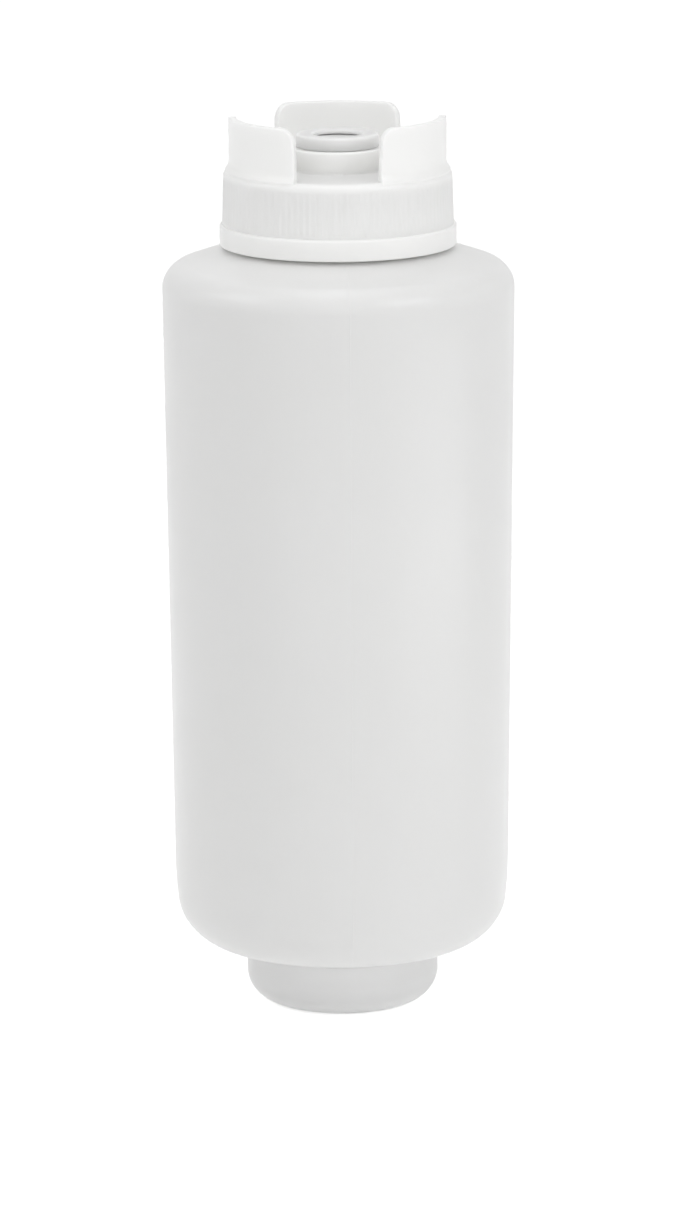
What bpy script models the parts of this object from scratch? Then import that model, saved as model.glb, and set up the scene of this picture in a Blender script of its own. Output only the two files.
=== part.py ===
"""Two-ended squeeze bottle, standing on its refill cap with the dispensing end up.

The bottle is a hollow moulding with a threaded neck at each end. A ribbed
dispensing cap with three standing tabs and a slit silicone valve closes the
upper neck, and a smooth rounded refill cap closes the lower one.

Lengths are in metres and angles in degrees. Z is up, the origin is the middle
of the refill cap's underside, and everything is stacked upwards from there.
"""
import math

import bmesh
import bpy
from mathutils import Matrix, Vector

# Clearances
FIT_GAP = 0.0003                # between closed pieces that rest on each other
SHOULDER_GAP = 0.0004           # between a cap's open edge and the bottle's shoulder
THREAD_CREST_GAP = 0.0005       # from the neck's thread crest to the cap's wall
CAP_THREAD_CREST_GAP = 0.0004   # from the cap's thread crest to the neck's wall
FLANK_GAP = 0.0003              # between the two thread flanks that bear on each other
SINK = 0.0003                   # how far a thread reaches into its wall

# Screw threads, right-handed and with one start
THREAD_LEAD = 0.0042333
THREAD_HEIGHT = 0.0012
THREAD_ROOT_WIDTH = 0.0019
THREAD_CREST_WIDTH = 0.0009
CAP_THREAD_ROOT_WIDTH = 0.0017
CAP_THREAD_CREST_WIDTH = 0.0008

# Refill cap
REFILL_CAP_HEIGHT = 0.0139
REFILL_CAP_WALL = 0.0016
REFILL_CAP_FLOOR = 0.0019
REFILL_CAP_EDGE_RADIUS = 0.0076
REFILL_LAND_RISE = 0.0019       # the ring inside the floor that carries the liner
REFILL_LAND_WIDTH = 0.0050
REFILL_LAND_SLOPE_WIDTH = 0.0012
REFILL_INNER_FILLET = 0.0020
REFILL_LIP_ROUND = 0.0004
REFILL_CAP_THREAD_DEPTH = 0.0023  # from the open edge to the middle of the thread's first turn
LINER_THICKNESS = 0.0015
LINER_OVERHANG = 0.0003         # past the outside of the neck's rim

# Bottle
REFILL_NECK_RADIUS = 0.0212
REFILL_NECK_WALL = 0.0018
REFILL_THREAD_TURNS = 1.1
BODY_HEIGHT = 0.17545           # from the lower neck to the corner of the upper shoulder
BODY_BOTTOM_RADIUS = 0.04254    # where the lines of the side and the bottom would meet
BODY_TOP_RADIUS = 0.0445        # at the sharp corner that the shoulder's fillet rounds
BODY_WALL = 0.0012
BODY_BOTTOM_SLOPE = 12.1
BODY_BOTTOM_FILLET = 0.0120
BODY_EASE_TURN = 7.0            # how far the side curves in gently, before the bottom's fillet
BODY_EASE_RADIUS = 0.0800
BODY_SHOULDER_SLOPE = 18.85
BODY_SHOULDER_FILLET = 0.0065
DISPENSING_NECK_RADIUS = 0.0251
DISPENSING_NECK_WALL = 0.0020
DISPENSING_THREAD_TURNS = 1.5
NECK_RIM_ROUND = 0.0004
NECK_THREAD_DEPTH = 0.0016      # from a neck's rim to the middle of its thread's first turn

# Dispensing cap
SKIRT_DEPTH = 0.01725           # from the open edge to the underside of the deck
SKIRT_WALL = 0.00235
SKIRT_DRAFT = 0.0003            # how much thinner the skirt is at its top
SKIRT_THREAD_DEPTH = 0.0062     # from the open edge to the middle of the thread's first turn
DECK_THICKNESS = 0.0018
DECK_EDGE_RADIUS = 0.0017
BEAD_PROUD = 0.00072
BEAD_HEIGHT = 0.0053
BEAD_ROUND = 0.0007
RIB_COUNT = 114
RIB_DEPTH = 0.00025
RIB_SLOPE_WIDTH = 0.0004        # from a rib's crest to the flat of the groove beside it
RIB_FOOT_GAP = 0.0006           # from the bead to the ribs
RIB_TOP_GAP = 0.0003            # from the ribs to the rounded edge of the deck

# Tabs of the dispensing cap
TAB_COUNT = 3
TAB_FIRST_ANGLE = 90.0
TAB_INSET = 0.00145             # from the top of the skirt's side to the tab's outer face
TAB_THICKNESS = 0.0021
TAB_HEIGHT = 0.0134
TAB_SPAN = 74.0
TAB_CORNER_RADIUS = 0.0038
TAB_EDGE_ROUND = 0.0004
TAB_FOOT_PROUD = 0.0007
TAB_FOOT_HEIGHT = 0.0018
TAB_DRAFT = 1.2                 # how much narrower the top is, at each side

# Valve, its retainer and the nozzle, from the middle outwards
PETAL_COUNT = 4
PETAL_RADIUS = 0.0046
PETAL_THICKNESS = 0.0006
PETAL_DISH = 0.0007             # how far the valve's middle lies below its edge
SLIT_WIDTH = 0.0003
VALVE_SLEEVE_WALL = 0.0006
VALVE_SLEEVE_DROP = 0.0008      # how far the sleeve hangs into the nozzle's bore
VALVE_FLANGE_THICKNESS = 0.0009
RETAINER_OPENING_GAP = 0.0012   # from the petals' swing to the retainer's opening
RETAINER_PLATE = 0.0011
RETAINER_WALL = 0.0012
RETAINER_EDGE_ROUND = 0.0006
NOZZLE_BORE_GAP = 0.0017        # from the valve's sleeve to the bore
SPIGOT_WALL = 0.0017
SPIGOT_HEIGHT = 0.0010
CHIMNEY_LEDGE = 0.0016          # from the retainer to the chimney's outside
CHIMNEY_HEIGHT = 0.0053
CHIMNEY_EDGE_ROUND = 0.0007

# Gasket of the dispensing cap
GASKET_THICKNESS = 0.0015
GASKET_INSET = 0.0008           # how far it reaches inside the neck's rim

# Facets
BOTTLE_STEPS = 48
VALVE_STEPS = 36
FINE_ARC_STEPS = 2
ARC_STEPS = 3
LARGE_ARC_STEPS = 6
THREAD_RUN_OUT_STEPS = 4
TAB_STEPS = 6
TAB_CORNER_STEPS = 3
PETAL_STEPS = 6
PETAL_RINGS = 3
MERGE_DISTANCE = 0.000001
SMOOTH_ANGLE = 30.0

# Radii that follow from the sizes above
REFILL_CAP_INNER_RADIUS = REFILL_NECK_RADIUS + THREAD_HEIGHT + THREAD_CREST_GAP
REFILL_CAP_RADIUS = REFILL_CAP_INNER_RADIUS + REFILL_CAP_WALL
SKIRT_INNER_RADIUS = DISPENSING_NECK_RADIUS + THREAD_HEIGHT + THREAD_CREST_GAP
SKIRT_RADIUS = SKIRT_INNER_RADIUS + SKIRT_WALL
SKIRT_TOP_RADIUS = SKIRT_RADIUS - SKIRT_DRAFT
TAB_RADIUS = SKIRT_TOP_RADIUS - TAB_INSET
VALVE_SLEEVE_INNER_RADIUS = PETAL_RADIUS + SLIT_WIDTH
VALVE_SLEEVE_RADIUS = VALVE_SLEEVE_INNER_RADIUS + VALVE_SLEEVE_WALL
NOZZLE_BORE_RADIUS = VALVE_SLEEVE_RADIUS + NOZZLE_BORE_GAP
SPIGOT_RADIUS = NOZZLE_BORE_RADIUS + SPIGOT_WALL
RETAINER_OPENING_RADIUS = VALVE_SLEEVE_INNER_RADIUS + RETAINER_OPENING_GAP
RETAINER_INNER_RADIUS = SPIGOT_RADIUS + FIT_GAP
RETAINER_RADIUS = RETAINER_INNER_RADIUS + RETAINER_WALL
CHIMNEY_RADIUS = RETAINER_RADIUS + CHIMNEY_LEDGE

# Heights that follow, from the floor up
BOTTOM_RISE = math.tan(math.radians(BODY_BOTTOM_SLOPE))
SHOULDER_RISE = math.tan(math.radians(BODY_SHOULDER_SLOPE))
LINER_Z = REFILL_CAP_FLOOR + REFILL_LAND_RISE + FIT_GAP
REFILL_RIM_Z = LINER_Z + LINER_THICKNESS + FIT_GAP
BODY_Z = REFILL_CAP_HEIGHT + SHOULDER_GAP
BODY_CORNER_Z = BODY_Z + BODY_HEIGHT
SKIRT_Z = BODY_CORNER_Z + (BODY_TOP_RADIUS - SKIRT_INNER_RADIUS) * SHOULDER_RISE + SHOULDER_GAP
CEILING_Z = SKIRT_Z + SKIRT_DEPTH
DECK_Z = CEILING_Z + DECK_THICKNESS
TAB_TOP_Z = DECK_Z + TAB_HEIGHT
GASKET_Z = CEILING_Z - FIT_GAP - GASKET_THICKNESS
DISPENSING_RIM_Z = GASKET_Z - FIT_GAP
RIB_FOOT_Z = SKIRT_Z + BEAD_HEIGHT + RIB_FOOT_GAP
RIB_TOP_Z = DECK_Z - DECK_EDGE_RADIUS - RIB_TOP_GAP
CHIMNEY_Z = DECK_Z + CHIMNEY_HEIGHT
SPIGOT_Z = CHIMNEY_Z + SPIGOT_HEIGHT
RETAINER_Z = CHIMNEY_Z + FIT_GAP
VALVE_Z = SPIGOT_Z + FIT_GAP
VALVE_TOP_Z = VALVE_Z + VALVE_FLANGE_THICKNESS
RETAINER_PLATE_Z = VALVE_TOP_Z + FIT_GAP
RETAINER_TOP_Z = RETAINER_PLATE_Z + RETAINER_PLATE


def clear_scene():
    """Removes the objects that a new file starts with."""
    for obj in list(bpy.data.objects):
        bpy.data.objects.remove(obj, do_unlink=True)


def plastic(name, colour, roughness, alpha=1.0):
    """A moulded plastic of one colour."""
    material = bpy.data.materials.new(name)
    material.use_nodes = True
    shader = material.node_tree.nodes["Principled BSDF"]
    shader.inputs["Base Color"].default_value = (*colour, 1.0)
    shader.inputs["Roughness"].default_value = roughness
    shader.inputs["Metallic"].default_value = 0.0
    shader.inputs["Alpha"].default_value = alpha
    return material


def to_mesh(name, bm):
    """Turns a finished bmesh into a smooth-shaded mesh with sharp corners."""
    mesh = bpy.data.meshes.new(name)
    bm.to_mesh(mesh)
    bm.free()
    mesh.shade_smooth()
    mesh.set_sharp_from_angle(angle=math.radians(SMOOTH_ANGLE))
    return mesh


def place(name, mesh, material=None):
    """Adds an object with this mesh and material to the scene."""
    obj = bpy.data.objects.new(name, mesh)
    bpy.context.scene.collection.objects.link(obj)
    if material and not mesh.materials:
        mesh.materials.append(material)
    return obj


def join(target, bm, name):
    """Joins a feature to an object with a union."""
    feature = place(name, to_mesh(name, bm))
    feature.hide_render = True
    feature.display_type = "WIRE"
    union = target.modifiers.new(name, "BOOLEAN")
    union.operation = "UNION"
    union.solver = "EXACT"
    union.object = feature


def fillet(before, corner, after, radius, steps):
    """The points of an arc that rounds the corner between two straight lines of a section."""
    corner = Vector(corner)
    u = (Vector(before) - corner).normalized()
    v = (Vector(after) - corner).normalized()
    half = u.angle(v) / 2
    centre = corner + (u + v).normalized() * (radius / math.sin(half))
    first = corner + u * (radius / math.tan(half)) - centre
    last = corner + v * (radius / math.tan(half)) - centre
    turn = -first.angle_signed(last)
    return [tuple(centre + Matrix.Rotation(turn * i / steps, 2) @ first) for i in range(steps + 1)]


def section(*corners):
    """Points (radius, height) of a section. A corner of (radius, height, fillet, steps) is rounded."""
    points = []
    for i, corner in enumerate(corners):
        if len(corner) == 2:
            points.append(corner)
        else:
            r, z, radius, steps = corner
            points += fillet(corners[i - 1][:2], (r, z), corners[i + 1][:2], radius, steps)
    return points


def turned(outline, steps, closed=True, angle=math.tau):
    """A section turned about Z. An open one starts and ends on the axis. Part of a turn has flat ends."""
    bm = bmesh.new()
    verts = [bm.verts.new((r, 0.0, z)) for r, z in outline]
    edges = [bm.edges.new(pair) for pair in zip(verts, verts[1:])]
    if closed:
        edges.append(bm.edges.new((verts[-1], verts[0])))
    full = angle == math.tau
    spun = bmesh.ops.spin(
        bm, geom=verts + edges, cent=(0.0, 0.0, 0.0), axis=(0.0, 0.0, 1.0),
        angle=angle, steps=steps, use_merge=full, use_duplicate=False,
    )
    if not full:
        last_edges = [item for item in spun["geom_last"] if isinstance(item, bmesh.types.BMEdge)]
        bmesh.ops.contextual_create(bm, geom=edges)
        bmesh.ops.contextual_create(bm, geom=last_edges)
    bmesh.ops.remove_doubles(bm, verts=bm.verts, dist=MERGE_DISTANCE)
    bmesh.ops.recalc_face_normals(bm, faces=bm.faces)
    return bm


def end_face(bm, ring):
    """Closes an end with a ladder of quads, from a section's first and last points to its middle ones."""
    for i in range(len(ring) // 2 - 1):
        bm.faces.new((ring[i], ring[i + 1], ring[-i - 2], ring[-i - 1]))


def swept(sections):
    """A closed solid that runs through a row of sections with the same, even number of points."""
    bm = bmesh.new()
    rings = [[bm.verts.new(point) for point in points] for points in sections]
    for ring, following in zip(rings, rings[1:]):
        for i, vert in enumerate(ring):
            bm.faces.new((ring[i - 1], vert, following[i], following[i - 1]))
    end_face(bm, rings[0])
    end_face(bm, rings[-1])
    bmesh.ops.recalc_face_normals(bm, faces=bm.faces)
    return bm


def around(radius, angle, height):
    """The point at a radius, an angle in radians and a height."""
    return (radius * math.cos(angle), radius * math.sin(angle), height)


def thread(wall, crest, start_z, turns, widths, phase_z):
    """A thread ridge that climbs from start_z, standing out of the wall's radius to the crest's.

    Its middle passes angle 0 at phase_z and at every lead above or below, and it runs out at both ends.
    """
    steps = round(turns * BOTTLE_STEPS)
    root = wall - math.copysign(SINK, crest - wall)
    root_width, crest_width = widths
    sections = []
    for i in range(steps + 1):
        z = start_z + turns * THREAD_LEAD * i / steps
        angle = math.tau * (z - phase_z) / THREAD_LEAD
        height_share = min(1.0, (min(i, steps - i) + 1) / (THREAD_RUN_OUT_STEPS + 1))
        ridge = root + (crest - root) * height_share
        sections.append([
            around(root, angle, z - root_width / 2),
            around(ridge, angle, z - crest_width / 2),
            around(ridge, angle, z + crest_width / 2),
            around(root, angle, z + root_width / 2),
        ])
    return swept(sections)


def bearing_offset():
    """How far apart, along the axis, the middles of two threads are whose flanks bear on each other."""
    wall_gap = THREAD_HEIGHT + THREAD_CREST_GAP
    cap_height = wall_gap - CAP_THREAD_CREST_GAP

    def both_half_widths(from_neck):
        neck_share = from_neck / THREAD_HEIGHT
        cap_share = (wall_gap - from_neck) / cap_height
        neck_width = THREAD_ROOT_WIDTH + (THREAD_CREST_WIDTH - THREAD_ROOT_WIDTH) * neck_share
        cap_width = CAP_THREAD_ROOT_WIDTH + (CAP_THREAD_CREST_WIDTH - CAP_THREAD_ROOT_WIDTH) * cap_share
        return (neck_width + cap_width) / 2

    return FLANK_GAP + max(both_half_widths(CAP_THREAD_CREST_GAP), both_half_widths(THREAD_HEIGHT))


def neck_thread(neck_radius, start_z, turns, rim_z):
    """The ridge on the outside of one of the bottle's necks."""
    widths = (THREAD_ROOT_WIDTH, THREAD_CREST_WIDTH)
    return thread(neck_radius, neck_radius + THREAD_HEIGHT, start_z, turns, widths, rim_z)


def cap_thread(neck_radius, start_z, turns, rim_z, offset):
    """The ridge inside a cap, offset from the ridge on its neck."""
    wall = neck_radius + THREAD_HEIGHT + THREAD_CREST_GAP
    widths = (CAP_THREAD_ROOT_WIDTH, CAP_THREAD_CREST_WIDTH)
    return thread(wall, neck_radius + CAP_THREAD_CREST_GAP, start_z, turns, widths, rim_z + offset)


def eased_corner(before, corner, after):
    """Two corners in place of the body's lower one, whose fillet and gentler ease meet smoothly."""
    corner = Vector(corner)
    along_bottom = (Vector(before) - corner).normalized()
    along_side = (Vector(after) - corner).normalized()
    turn = math.pi - along_bottom.angle(along_side)
    ease_turn = math.radians(BODY_EASE_TURN)
    fillet_turn = turn - ease_turn
    length = BODY_BOTTOM_FILLET * math.tan(fillet_turn / 2) + BODY_EASE_RADIUS * math.tan(ease_turn / 2)
    reach = length / math.sin(turn)
    low = corner + along_bottom * (reach * math.sin(ease_turn))
    side = corner + along_side * (reach * math.sin(fillet_turn))
    return tuple(low), tuple(side)


def body_corners():
    """The corners of the body's outer section, from the lower neck to the upper one."""
    neck_low = (REFILL_NECK_RADIUS, BODY_Z - (REFILL_CAP_INNER_RADIUS - REFILL_NECK_RADIUS) * BOTTOM_RISE)
    corner = (BODY_BOTTOM_RADIUS, BODY_Z + (BODY_BOTTOM_RADIUS - REFILL_CAP_INNER_RADIUS) * BOTTOM_RISE)
    high = (BODY_TOP_RADIUS, BODY_CORNER_Z)
    shoulder_width = BODY_TOP_RADIUS - DISPENSING_NECK_RADIUS
    neck_high = (DISPENSING_NECK_RADIUS, BODY_CORNER_Z + shoulder_width * SHOULDER_RISE)
    return (neck_low, *eased_corner(neck_low, corner, high), high, neck_high)


def inner_corner(before, corner, after):
    """A body corner moved inwards, so that both walls that meet there have the body's thickness."""
    corner = Vector(corner)
    u = (Vector(before) - corner).normalized()
    v = (Vector(after) - corner).normalized()
    return tuple(corner + (u + v).normalized() * (BODY_WALL / math.sin(u.angle(v) / 2)))


def bottle_outline():
    """The bottle's wall in section, up the outside and down the inside."""
    neck_low, low, side, high, neck_high = body_corners()
    in_low = inner_corner(neck_low, low, side)
    in_side = inner_corner(low, side, high)
    in_high = inner_corner(side, high, neck_high)
    low_bore = REFILL_NECK_RADIUS - REFILL_NECK_WALL
    high_bore = DISPENSING_NECK_RADIUS - DISPENSING_NECK_WALL
    rim = NECK_RIM_ROUND
    return section(
        (low_bore, REFILL_RIM_Z + rim),
        (low_bore + rim, REFILL_RIM_Z),
        (REFILL_NECK_RADIUS - rim, REFILL_RIM_Z),
        (REFILL_NECK_RADIUS, REFILL_RIM_Z + rim),
        neck_low,
        (*low, BODY_BOTTOM_FILLET, LARGE_ARC_STEPS),
        (*side, BODY_EASE_RADIUS, FINE_ARC_STEPS),
        (*high, BODY_SHOULDER_FILLET, ARC_STEPS),
        neck_high,
        (DISPENSING_NECK_RADIUS, DISPENSING_RIM_Z - rim),
        (DISPENSING_NECK_RADIUS - rim, DISPENSING_RIM_Z),
        (high_bore + rim, DISPENSING_RIM_Z),
        (high_bore, DISPENSING_RIM_Z - rim),
        (high_bore, in_high[1] + (in_high[0] - high_bore) * SHOULDER_RISE),
        (*in_high, BODY_SHOULDER_FILLET - BODY_WALL, ARC_STEPS),
        (*in_side, BODY_EASE_RADIUS - BODY_WALL, FINE_ARC_STEPS),
        (*in_low, BODY_BOTTOM_FILLET - BODY_WALL, LARGE_ARC_STEPS),
        (low_bore, in_low[1] - (in_low[0] - low_bore) * BOTTOM_RISE),
    )


def make_bottle(material):
    """The hollow body with its two threaded necks."""
    bottle = place("bottle_body", to_mesh("bottle_body", turned(bottle_outline(), BOTTLE_STEPS)), material)
    upper_start = DISPENSING_RIM_Z - NECK_THREAD_DEPTH - DISPENSING_THREAD_TURNS * THREAD_LEAD
    upper = neck_thread(DISPENSING_NECK_RADIUS, upper_start, DISPENSING_THREAD_TURNS, DISPENSING_RIM_Z)
    join(bottle, upper, "dispensing_neck_thread")
    lower_start = REFILL_RIM_Z + NECK_THREAD_DEPTH
    lower = neck_thread(REFILL_NECK_RADIUS, lower_start, REFILL_THREAD_TURNS, REFILL_RIM_Z)
    join(bottle, lower, "refill_neck_thread")


def skirt_outline():
    """The dispensing cap's section, up the outside, over the deck and the nozzle, and down the inside."""
    bead_radius = SKIRT_RADIUS + BEAD_PROUD
    bead_top = SKIRT_Z + BEAD_HEIGHT
    return section(
        (SKIRT_INNER_RADIUS, SKIRT_Z),
        (bead_radius, SKIRT_Z, BEAD_ROUND, FINE_ARC_STEPS),
        (bead_radius, bead_top, BEAD_ROUND, FINE_ARC_STEPS),
        (SKIRT_RADIUS, bead_top),
        (SKIRT_RADIUS, RIB_FOOT_Z),
        (SKIRT_TOP_RADIUS, RIB_TOP_Z),
        (SKIRT_TOP_RADIUS, DECK_Z, DECK_EDGE_RADIUS, ARC_STEPS),
        (CHIMNEY_RADIUS, DECK_Z),
        (CHIMNEY_RADIUS, CHIMNEY_Z, CHIMNEY_EDGE_ROUND, FINE_ARC_STEPS),
        (SPIGOT_RADIUS, CHIMNEY_Z),
        (SPIGOT_RADIUS, SPIGOT_Z),
        (NOZZLE_BORE_RADIUS, SPIGOT_Z),
        (NOZZLE_BORE_RADIUS, CEILING_Z),
        (SKIRT_INNER_RADIUS, CEILING_Z),
    )


def cut_ribs(bm):
    """Sinks a groove into each face of the ribbed band, which leaves a rib on each edge between them."""
    middle = (RIB_FOOT_Z + RIB_TOP_Z) / 2
    centres = [(face, face.calc_center_median()) for face in bm.faces]
    level = [(face, centre) for face, centre in centres if abs(centre.z - middle) < MERGE_DISTANCE]
    band = [face for face, centre in level if centre.xy.length > SKIRT_INNER_RADIUS]
    bmesh.ops.inset_individual(
        bm, faces=band, thickness=RIB_SLOPE_WIDTH, depth=-RIB_DEPTH, use_even_offset=True,
    )


def tab(middle):
    """One standing tab about the angle middle, curved with the cap, with round top corners and a sloped foot.

    The foot's slope runs on below the deck's top, and up to the foot's height the tab has flat faces only.
    """
    inner = TAB_RADIUS - TAB_THICKNESS
    root_depth = DECK_THICKNESS / 2
    foot = TAB_RADIUS + TAB_FOOT_PROUD * (TAB_FOOT_HEIGHT + root_depth) / TAB_FOOT_HEIGHT
    half = math.radians(TAB_SPAN / 2)
    lean_share = 1 - math.radians(TAB_DRAFT) / half
    corner = TAB_CORNER_RADIUS / TAB_RADIUS
    turns = [math.pi / 2 * i / TAB_CORNER_STEPS for i in range(TAB_CORNER_STEPS + 1)]
    side = [(corner * (1 - math.cos(t)) - half, TAB_CORNER_RADIUS * (1 - math.sin(t))) for t in turns]
    flat = [((half - corner) * (2 * i / TAB_STEPS - 1), 0.0) for i in range(1, TAB_STEPS)]
    other_side = [(-offset, drop) for offset, drop in reversed(side)]
    sections = []
    for offset, drop in side + flat + other_side:
        low = middle + offset
        high = middle + offset * lean_share
        top = TAB_TOP_Z - drop
        sections.append([
            around(foot, low, DECK_Z - root_depth),
            around(TAB_RADIUS, low, DECK_Z + TAB_FOOT_HEIGHT),
            around(TAB_RADIUS, high, top - TAB_EDGE_ROUND),
            around(TAB_RADIUS - TAB_EDGE_ROUND, high, top),
            around(inner + TAB_EDGE_ROUND, high, top),
            around(inner, high, top - TAB_EDGE_ROUND),
            around(inner, low, DECK_Z + TAB_FOOT_HEIGHT),
            around(inner, low, DECK_Z - root_depth),
        ])
    return swept(sections)


def make_dispensing_cap(material):
    """The ribbed screw cap with its deck, nozzle, thread and tabs."""
    bm = turned(skirt_outline(), RIB_COUNT)
    cut_ribs(bm)
    cap = place("dispensing_cap", to_mesh("dispensing_cap", bm), material)
    join(cap, cap_thread(
        DISPENSING_NECK_RADIUS, SKIRT_Z + SKIRT_THREAD_DEPTH, DISPENSING_THREAD_TURNS,
        DISPENSING_RIM_Z, -bearing_offset(),
    ), "dispensing_cap_thread")
    for i in range(TAB_COUNT):
        middle = math.radians(TAB_FIRST_ANGLE + 360.0 * i / TAB_COUNT)
        join(cap, tab(middle), f"tab_{i + 1}")


def make_gasket(material):
    """The flat ring that seals the dispensing cap on the neck's rim."""
    inner = DISPENSING_NECK_RADIUS - DISPENSING_NECK_WALL - GASKET_INSET
    outer = SKIRT_INNER_RADIUS - FIT_GAP
    top = GASKET_Z + GASKET_THICKNESS
    outline = section((inner, GASKET_Z), (outer, GASKET_Z), (outer, top), (inner, top))
    ring = turned(outline, BOTTLE_STEPS)
    place("dispensing_cap_gasket", to_mesh("dispensing_cap_gasket", ring), material)


def make_retainer(material):
    """The ring that snaps over the nozzle and clamps the valve's flange."""
    outline = section(
        (RETAINER_INNER_RADIUS, RETAINER_Z),
        (RETAINER_RADIUS, RETAINER_Z),
        (RETAINER_RADIUS, RETAINER_TOP_Z, RETAINER_EDGE_ROUND, ARC_STEPS),
        (RETAINER_OPENING_RADIUS, RETAINER_TOP_Z, RETAINER_EDGE_ROUND, ARC_STEPS),
        (RETAINER_OPENING_RADIUS, RETAINER_PLATE_Z),
        (RETAINER_INNER_RADIUS, RETAINER_PLATE_Z),
    )
    place("valve_retainer", to_mesh("valve_retainer", turned(outline, VALVE_STEPS)), material)


def make_valve(material):
    """The silicone valve's clamped flange, and the sleeve round its petals."""
    flange_radius = RETAINER_INNER_RADIUS - FIT_GAP
    outline = section(
        (VALVE_SLEEVE_INNER_RADIUS, VALVE_Z - VALVE_SLEEVE_DROP),
        (VALVE_SLEEVE_RADIUS, VALVE_Z - VALVE_SLEEVE_DROP),
        (VALVE_SLEEVE_RADIUS, VALVE_Z),
        (flange_radius, VALVE_Z),
        (flange_radius, VALVE_TOP_Z),
        (VALVE_SLEEVE_INNER_RADIUS, VALVE_TOP_Z),
    )
    place("silicone_valve", to_mesh("silicone_valve", turned(outline, VALVE_STEPS)), material)


def petal_mesh():
    """A flap of the valve, a quarter of a shallow dish. Its origin is the middle of its hinged edge."""
    quarter = math.tau / PETAL_COUNT
    shift = SLIT_WIDTH / 2 / math.sin(quarter / 2)
    reach = PETAL_RADIUS - shift
    ring_shares = [i / PETAL_RINGS for i in range(PETAL_RINGS + 1)]
    top = [(reach * share, -PETAL_DISH * (1 - share * share)) for share in ring_shares]
    under = [(r, z - PETAL_THICKNESS) for r, z in reversed(top)]
    bm = turned(top + under, PETAL_STEPS, angle=quarter)
    bmesh.ops.rotate(bm, verts=bm.verts, matrix=Matrix.Rotation(-quarter / 2, 3, "Z"))
    bmesh.ops.translate(bm, verts=bm.verts, vec=(-reach, 0.0, 0.0))
    return to_mesh("valve_petal", bm)


def make_petals(material):
    """The flaps between the valve's crossed slits. Each one's origin lies on its swing's axis."""
    mesh = petal_mesh()
    for i in range(PETAL_COUNT):
        angle = math.tau * i / PETAL_COUNT
        petal = place(f"valve_petal_{i + 1}", mesh, material)
        petal.location = around(PETAL_RADIUS, angle, VALVE_TOP_Z)
        petal.rotation_euler.z = angle


def make_liner(material):
    """The disc that seals the refill cap on the neck's rim."""
    radius = REFILL_NECK_RADIUS + LINER_OVERHANG
    top = LINER_Z + LINER_THICKNESS
    outline = section((0.0, LINER_Z), (radius, LINER_Z), (radius, top), (0.0, top))
    disc = turned(outline, BOTTLE_STEPS, closed=False)
    place("refill_cap_liner", to_mesh("refill_cap_liner", disc), material)


def refill_cap_outline():
    """The refill cap's section, from the middle of its underside round the outside and over its floor."""
    land_z = REFILL_CAP_FLOOR + REFILL_LAND_RISE
    land_inner_radius = REFILL_CAP_INNER_RADIUS - REFILL_LAND_WIDTH
    return section(
        (0.0, 0.0),
        (REFILL_CAP_RADIUS, 0.0, REFILL_CAP_EDGE_RADIUS, LARGE_ARC_STEPS),
        (REFILL_CAP_RADIUS, REFILL_CAP_HEIGHT, REFILL_LIP_ROUND, FINE_ARC_STEPS),
        (REFILL_CAP_INNER_RADIUS, REFILL_CAP_HEIGHT, REFILL_LIP_ROUND, FINE_ARC_STEPS),
        (REFILL_CAP_INNER_RADIUS, land_z, REFILL_INNER_FILLET, ARC_STEPS),
        (land_inner_radius, land_z),
        (land_inner_radius - REFILL_LAND_SLOPE_WIDTH, REFILL_CAP_FLOOR),
        (0.0, REFILL_CAP_FLOOR),
    )


def make_refill_cap(material):
    """The smooth rounded screw cap on which the bottle stands."""
    bm = turned(refill_cap_outline(), BOTTLE_STEPS, closed=False)
    cap = place("refill_cap", to_mesh("refill_cap", bm), material)
    start = REFILL_CAP_HEIGHT - REFILL_CAP_THREAD_DEPTH - REFILL_THREAD_TURNS * THREAD_LEAD
    join(cap, cap_thread(
        REFILL_NECK_RADIUS, start, REFILL_THREAD_TURNS, REFILL_RIM_Z, bearing_offset(),
    ), "refill_cap_thread")


def main():
    """Builds every piece, from the bottle outwards."""
    clear_scene()
    bottle = plastic("translucent_bottle", (0.79, 0.79, 0.78), 0.38, 0.85)
    cap = plastic("natural_cap", (0.85, 0.85, 0.84), 0.42)
    silicone = plastic("clear_silicone", (0.83, 0.83, 0.82), 0.30)
    seal = plastic("foam_seal", (0.88, 0.88, 0.86), 0.70)
    make_bottle(bottle)
    make_dispensing_cap(cap)
    make_gasket(seal)
    make_retainer(cap)
    make_valve(silicone)
    make_petals(silicone)
    make_refill_cap(cap)
    make_liner(seal)


main()
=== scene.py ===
"""The looks of a two-ended squeeze bottle: finely turned pieces, their finishes and a white studio.

The bottle stands on its refill cap. Every piece is turned or bent from a few named sizes, and takes
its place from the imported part. Lengths are in metres, Z is up, and the camera looks along +Y.
"""
from __future__ import annotations

import functools
import logging
import math
from abc import ABC, abstractmethod
from dataclasses import dataclass
from enum import Enum
from typing import Any, Iterable, Sequence

import bmesh
import bpy
from mathutils import Matrix, Vector

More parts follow.
